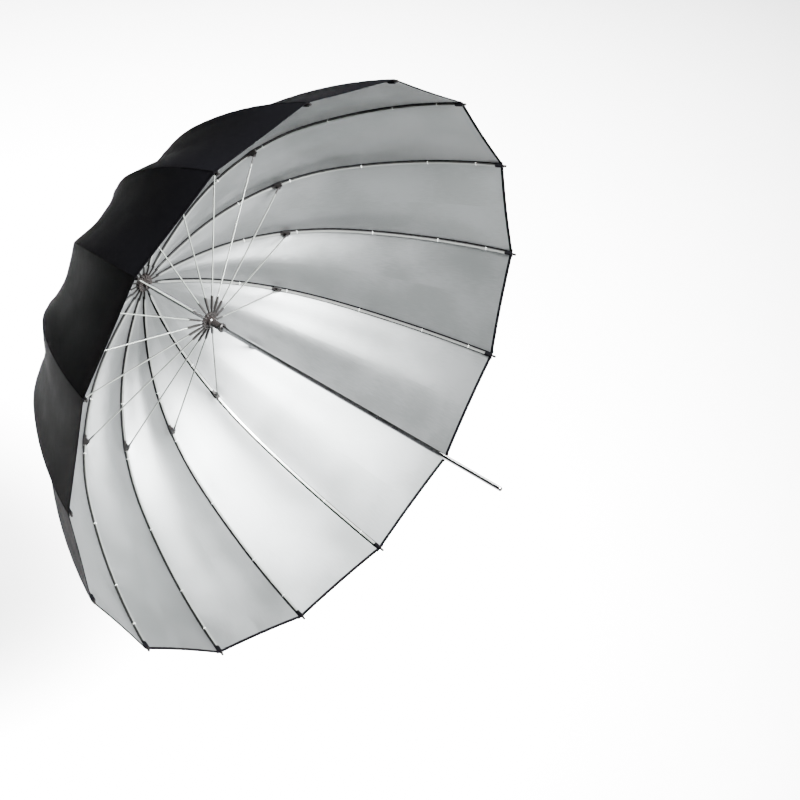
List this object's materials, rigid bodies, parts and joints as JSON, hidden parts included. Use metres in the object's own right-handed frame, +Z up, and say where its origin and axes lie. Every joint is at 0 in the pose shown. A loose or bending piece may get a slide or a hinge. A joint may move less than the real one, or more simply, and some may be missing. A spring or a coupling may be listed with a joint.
{
  "type": "umbrella reflector",
  "caption": "Deep reflector umbrella: silver-lined black cloth bowl on folding ribs, with struts, sliding runner and a slim steel shaft that a light stand holder clamps.",
  "frame": {"origin": "middle of the plain grip stretch of the shaft, on the shaft's axis", "axes": "the shaft lies along Y: -Y points out of the bowl's mouth along the grip stretch to the shaft's free end, +Y points at the crown, +Z is up"},
  "size_m": [1.0586, 0.8503, 1.0586],
  "materials": {
    "chrome_tube": "bright plated tube, fine drawn lines along it",
    "rib_steel": "bright zinc plated channel, dark crimped ends and clips",
    "strut_steel": "bright drawn wire, dark pressed ends",
    "silver_cloth": "silver coated woven cloth, satin sheen",
    "black_cloth": "black woven cloth, slight sheen",
    "grey_nylon": "moulded nylon, satin",
    "dark_steel": "blackened steel, satin",
    "black_plastic": "moulded plastic, satin"
  },
  "bodies": {
    "shaft": {"shaft": "chrome_tube", "shaft_plug": "black_plastic", "stop_ring": "dark_steel", "spring_catch": "dark_steel", "crown_hub": "grey_nylon", "crown_wire": "dark_steel", "hub_pin": "dark_steel", "crown_plate": "dark_steel", "crown_patch": "black_cloth", "end_cap": "black_plastic"},
    "runner": {"runner": "grey_nylon", "runner_ring": "dark_steel"},
    "rib_01": {"rib_01": "rib_steel", "canopy_segment_01": "silver_cloth"},
    "strut_01": {"strut_01": "strut_steel"},
    "rib_02": {"rib_02": "rib_steel", "canopy_segment_02": "silver_cloth"},
    "strut_02": {"strut_02": "strut_steel"},
    "rib_03": {"rib_03": "rib_steel", "canopy_segment_03": "silver_cloth"},
    "strut_03": {"strut_03": "strut_steel"},
    "rib_04": {"rib_04": "rib_steel", "canopy_segment_04": "silver_cloth"},
    "strut_04": {"strut_04": "strut_steel"},
    "rib_05": {"rib_05": "rib_steel", "canopy_segment_05": "silver_cloth"},
    "strut_05": {"strut_05": "strut_steel"},
    "rib_06": {"rib_06": "rib_steel", "canopy_segment_06": "silver_cloth"},
    "strut_06": {"strut_06": "strut_steel"},
    "rib_07": {"rib_07": "rib_steel", "canopy_segment_07": "silver_cloth"},
    "strut_07": {"strut_07": "strut_steel"},
    "rib_08": {"rib_08": "rib_steel", "canopy_segment_08": "silver_cloth"},
    "strut_08": {"strut_08": "strut_steel"},
    "rib_09": {"rib_09": "rib_steel", "canopy_segment_09": "silver_cloth"},
    "strut_09": {"strut_09": "strut_steel"},
    "rib_10": {"rib_10": "rib_steel", "canopy_segment_10": "silver_cloth"},
    "strut_10": {"strut_10": "strut_steel"},
    "rib_11": {"rib_11": "rib_steel", "canopy_segment_11": "silver_cloth"},
    "strut_11": {"strut_11": "strut_steel"},
    "rib_12": {"rib_12": "rib_steel", "canopy_segment_12": "silver_cloth"},
    "strut_12": {"strut_12": "strut_steel"},
    "rib_13": {"rib_13": "rib_steel", "canopy_segment_13": "silver_cloth"},
    "strut_13": {"strut_13": "strut_steel"},
    "rib_14": {"rib_14": "rib_steel", "canopy_segment_14": "silver_cloth"},
    "strut_14": {"strut_14": "strut_steel"},
    "rib_15": {"rib_15": "rib_steel", "canopy_segment_15": "silver_cloth"},
    "strut_15": {"strut_15": "strut_steel"},
    "rib_16": {"rib_16": "rib_steel", "canopy_segment_16": "silver_cloth"},
    "strut_16": {"strut_16": "strut_steel"}
  },
  "joints": [
    {"name": "runner_slide", "type": "slide", "parent": "shaft", "child": "runner", "axis": [0, -1, 0], "range_m": [0, 0.35926], "deforming": ["spring_catch"]},
    {"name": "rib_01_hinge", "type": "hinge", "parent": "shaft", "child": "rib_01", "pos_m": [0.01249, 0.69346, -0.0005], "axis": [-0.0401, 0, -0.9992], "range_deg": [0, 52.02], "deforming": ["canopy_segment_01"]},
    {"name": "strut_01_hinge", "type": "hinge", "parent": "rib_01", "child": "strut_01", "pos_m": [0.28551, 0.62634, -0.01147], "axis": [0.0401, 0, 0.9992], "range_deg": [0, 99.21]},
    {"name": "rib_02_hinge", "type": "hinge", "parent": "shaft", "child": "rib_02", "pos_m": [0.01173, 0.69346, 0.00432], "axis": [0.3453, 0, -0.9385], "range_deg": [0, 52.02], "deforming": ["canopy_segment_02"]},
    {"name": "strut_02_hinge", "type": "hinge", "parent": "rib_02", "child": "strut_02", "pos_m": [0.26817, 0.62634, 0.09867], "axis": [-0.3453, 0, 0.9385], "range_deg": [0, 99.21]},
    {"name": "rib_03_hinge", "type": "hinge", "parent": "shaft", "child": "rib_03", "pos_m": [0.00919, 0.69346, 0.00848], "axis": [0.6782, 0, -0.7349], "range_deg": [0, 52.02], "deforming": ["canopy_segment_03"]},
    {"name": "strut_03_hinge", "type": "hinge", "parent": "rib_03", "child": "strut_03", "pos_m": [0.20999, 0.62634, 0.19378], "axis": [-0.6782, 0, 0.7349], "range_deg": [0, 99.21]},
    {"name": "rib_04_hinge", "type": "hinge", "parent": "shaft", "child": "rib_04", "pos_m": [0.00524, 0.69346, 0.01135], "axis": [0.9078, 0, -0.4195], "range_deg": [0, 52.02], "deforming": ["canopy_segment_04"]},
    {"name": "strut_04_hinge", "type": "hinge", "parent": "rib_04", "child": "strut_04", "pos_m": [0.11986, 0.62634, 0.25939], "axis": [-0.9078, 0, 0.4195], "range_deg": [0, 99.21]},
    {"name": "rib_05_hinge", "type": "hinge", "parent": "shaft", "child": "rib_05", "pos_m": [0.0005, 0.69346, 0.01249], "axis": [0.9992, 0, -0.0401], "range_deg": [0, 52.02], "deforming": ["canopy_segment_05"]},
    {"name": "strut_05_hinge", "type": "hinge", "parent": "rib_05", "child": "strut_05", "pos_m": [0.01147, 0.62634, 0.28551], "axis": [-0.9992, 0, 0.0401], "range_deg": [0, 99.21]},
    {"name": "rib_06_hinge", "type": "hinge", "parent": "shaft", "child": "rib_06", "pos_m": [-0.00432, 0.69346, 0.01173], "axis": [0.9385, 0, 0.3453], "range_deg": [0, 52.02], "deforming": ["canopy_segment_06"]},
    {"name": "strut_06_hinge", "type": "hinge", "parent": "rib_06", "child": "strut_06", "pos_m": [-0.09867, 0.62634, 0.26817], "axis": [-0.9385, 0, -0.3453], "range_deg": [0, 99.21]},
    {"name": "rib_07_hinge", "type": "hinge", "parent": "shaft", "child": "rib_07", "pos_m": [-0.00848, 0.69346, 0.00919], "axis": [0.7349, 0, 0.6782], "range_deg": [0, 52.02], "deforming": ["canopy_segment_07"]},
    {"name": "strut_07_hinge", "type": "hinge", "parent": "rib_07", "child": "strut_07", "pos_m": [-0.19378, 0.62634, 0.20999], "axis": [-0.7349, 0, -0.6782], "range_deg": [0, 99.21]},
    {"name": "rib_08_hinge", "type": "hinge", "parent": "shaft", "child": "rib_08", "pos_m": [-0.01135, 0.69346, 0.00524], "axis": [0.4195, 0, 0.9078], "range_deg": [0, 52.02], "deforming": ["canopy_segment_08"]},
    {"name": "strut_08_hinge", "type": "hinge", "parent": "rib_08", "child": "strut_08", "pos_m": [-0.25939, 0.62634, 0.11986], "axis": [-0.4195, 0, -0.9078], "range_deg": [0, 99.21]},
    {"name": "rib_09_hinge", "type": "hinge", "parent": "shaft", "child": "rib_09", "pos_m": [-0.01249, 0.69346, 0.0005], "axis": [0.0401, 0, 0.9992], "range_deg": [0, 52.02], "deforming": ["canopy_segment_09"]},
    {"name": "strut_09_hinge", "type": "hinge", "parent": "rib_09", "child": "strut_09", "pos_m": [-0.28551, 0.62634, 0.01147], "axis": [-0.0401, 0, -0.9992], "range_deg": [0, 99.21]},
    {"name": "rib_10_hinge", "type": "hinge", "parent": "shaft", "child": "rib_10", "pos_m": [-0.01173, 0.69346, -0.00432], "axis": [-0.3453, 0, 0.9385], "range_deg": [0, 52.02], "deforming": ["canopy_segment_10"]},
    {"name": "strut_10_hinge", "type": "hinge", "parent": "rib_10", "child": "strut_10", "pos_m": [-0.26817, 0.62634, -0.09867], "axis": [0.3453, 0, -0.9385], "range_deg": [0, 99.21]},
    {"name": "rib_11_hinge", "type": "hinge", "parent": "shaft", "child": "rib_11", "pos_m": [-0.00919, 0.69346, -0.00848], "axis": [-0.6782, 0, 0.7349], "range_deg": [0, 52.02], "deforming": ["canopy_segment_11"]},
    {"name": "strut_11_hinge", "type": "hinge", "parent": "rib_11", "child": "strut_11", "pos_m": [-0.20999, 0.62634, -0.19378], "axis": [0.6782, 0, -0.7349], "range_deg": [0, 99.21]},
    {"name": "rib_12_hinge", "type": "hinge", "parent": "shaft", "child": "rib_12", "pos_m": [-0.00524, 0.69346, -0.01135], "axis": [-0.9078, 0, 0.4195], "range_deg": [0, 52.02], "deforming": ["canopy_segment_12"]},
    {"name": "strut_12_hinge", "type": "hinge", "parent": "rib_12", "child": "strut_12", "pos_m": [-0.11986, 0.62634, -0.25939], "axis": [0.9078, 0, -0.4195], "range_deg": [0, 99.21]},
    {"name": "rib_13_hinge", "type": "hinge", "parent": "shaft", "child": "rib_13", "pos_m": [-0.0005, 0.69346, -0.01249], "axis": [-0.9992, 0, 0.0401], "range_deg": [0, 52.02], "deforming": ["canopy_segment_13"]},
    {"name": "strut_13_hinge", "type": "hinge", "parent": "rib_13", "child": "strut_13", "pos_m": [-0.01147, 0.62634, -0.28551], "axis": [0.9992, 0, -0.0401], "range_deg": [0, 99.21]},
    {"name": "rib_14_hinge", "type": "hinge", "parent": "shaft", "child": "rib_14", "pos_m": [0.00432, 0.69346, -0.01173], "axis": [-0.9385, 0, -0.3453], "range_deg": [0, 52.02], "deforming": ["canopy_segment_14"]},
    {"name": "strut_14_hinge", "type": "hinge", "parent": "rib_14", "child": "strut_14", "pos_m": [0.09867, 0.62634, -0.26817], "axis": [0.9385, 0, 0.3453], "range_deg": [0, 99.21]},
    {"name": "rib_15_hinge", "type": "hinge", "parent": "shaft", "child": "rib_15", "pos_m": [0.00848, 0.69346, -0.00919], "axis": [-0.7349, 0, -0.6782], "range_deg": [0, 52.02], "deforming": ["canopy_segment_15"]},
    {"name": "strut_15_hinge", "type": "hinge", "parent": "rib_15", "child": "strut_15", "pos_m": [0.19378, 0.62634, -0.20999], "axis": [0.7349, 0, 0.6782], "range_deg": [0, 99.21]},
    {"name": "rib_16_hinge", "type": "hinge", "parent": "shaft", "child": "rib_16", "pos_m": [0.01135, 0.69346, -0.00524], "axis": [-0.4195, 0, -0.9078], "range_deg": [0, 52.02], "deforming": ["canopy_segment_16"]},
    {"name": "strut_16_hinge", "type": "hinge", "parent": "rib_16", "child": "strut_16", "pos_m": [0.25939, 0.62634, -0.11986], "axis": [0.4195, 0, 0.9078], "range_deg": [0, 99.21]}
  ],
  "couplings": [
    {"joint": "rib_01_hinge", "follows": "runner_slide", "rad_per_m": 2.5262},
    {"joint": "strut_01_hinge", "follows": "runner_slide", "rad_per_m": 4.819},
    {"joint": "rib_02_hinge", "follows": "runner_slide", "rad_per_m": 2.5262},
    {"joint": "strut_02_hinge", "follows": "runner_slide", "rad_per_m": 4.819},
    {"joint": "rib_03_hinge", "follows": "runner_slide", "rad_per_m": 2.5262},
    {"joint": "strut_03_hinge", "follows": "runner_slide", "rad_per_m": 4.819},
    {"joint": "rib_04_hinge", "follows": "runner_slide", "rad_per_m": 2.5262},
    {"joint": "strut_04_hinge", "follows": "runner_slide", "rad_per_m": 4.819},
    {"joint": "rib_05_hinge", "follows": "runner_slide", "rad_per_m": 2.5262},
    {"joint": "strut_05_hinge", "follows": "runner_slide", "rad_per_m": 4.819},
    {"joint": "rib_06_hinge", "follows": "runner_slide", "rad_per_m": 2.5262},
    {"joint": "strut_06_hinge", "follows": "runner_slide", "rad_per_m": 4.819},
    {"joint": "rib_07_hinge", "follows": "runner_slide", "rad_per_m": 2.5262},
    {"joint": "strut_07_hinge", "follows": "runner_slide", "rad_per_m": 4.819},
    {"joint": "rib_08_hinge", "follows": "runner_slide", "rad_per_m": 2.5262},
    {"joint": "strut_08_hinge", "follows": "runner_slide", "rad_per_m": 4.819},
    {"joint": "rib_09_hinge", "follows": "runner_slide", "rad_per_m": 2.5262},
    {"joint": "strut_09_hinge", "follows": "runner_slide", "rad_per_m": 4.819},
    {"joint": "rib_10_hinge", "follows": "runner_slide", "rad_per_m": 2.5262},
    {"joint": "strut_10_hinge", "follows": "runner_slide", "rad_per_m": 4.819},
    {"joint": "rib_11_hinge", "follows": "runner_slide", "rad_per_m": 2.5262},
    {"joint": "strut_11_hinge", "follows": "runner_slide", "rad_per_m": 4.819},
    {"joint": "rib_12_hinge", "follows": "runner_slide", "rad_per_m": 2.5262},
    {"joint": "strut_12_hinge", "follows": "runner_slide", "rad_per_m": 4.819},
    {"joint": "rib_13_hinge", "follows": "runner_slide", "rad_per_m": 2.5262},
    {"joint": "strut_13_hinge", "follows": "runner_slide", "rad_per_m": 4.819},
    {"joint": "rib_14_hinge", "follows": "runner_slide", "rad_per_m": 2.5262},
    {"joint": "strut_14_hinge", "follows": "runner_slide", "rad_per_m": 4.819},
    {"joint": "rib_15_hinge", "follows": "runner_slide", "rad_per_m": 2.5262},
    {"joint": "strut_15_hinge", "follows": "runner_slide", "rad_per_m": 4.819},
    {"joint": "rib_16_hinge", "follows": "runner_slide", "rad_per_m": 2.5262},
    {"joint": "strut_16_hinge", "follows": "runner_slide", "rad_per_m": 4.819}
  ]
}
